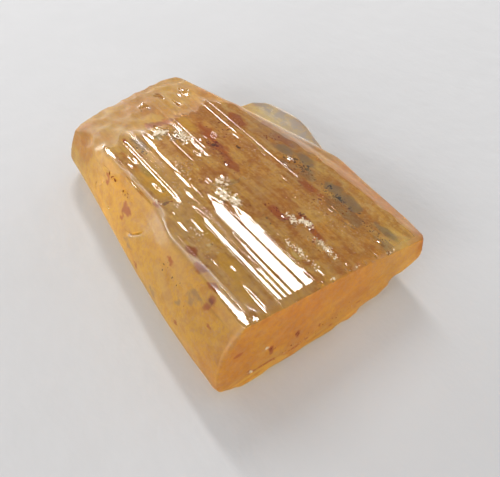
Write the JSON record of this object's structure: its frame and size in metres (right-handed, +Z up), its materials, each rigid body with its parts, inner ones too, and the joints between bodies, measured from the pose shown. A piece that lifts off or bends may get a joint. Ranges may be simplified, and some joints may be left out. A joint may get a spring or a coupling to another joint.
{
  "type": "topaz crystal",
  "caption": "Loose rough topaz crystal: a flat striated prism with a basal cleavage face at one end and an etched sloping break at the other.",
  "frame": {"origin": "middle of the underside, on the surface the crystal rests on", "axes": "+X along the prism towards the basal cleavage, +Y across it towards the thin edge, +Z up out of the striated side"},
  "size_m": [0.0194, 0.0142, 0.0043],
  "materials": {
    "topaz": "transparent honey-orange crystal, glossy on the striated side, frosted on the flank and the break"
  },
  "bodies": {
    "root": {"topaz_crystal": "topaz"}
  },
  "joints": []
}
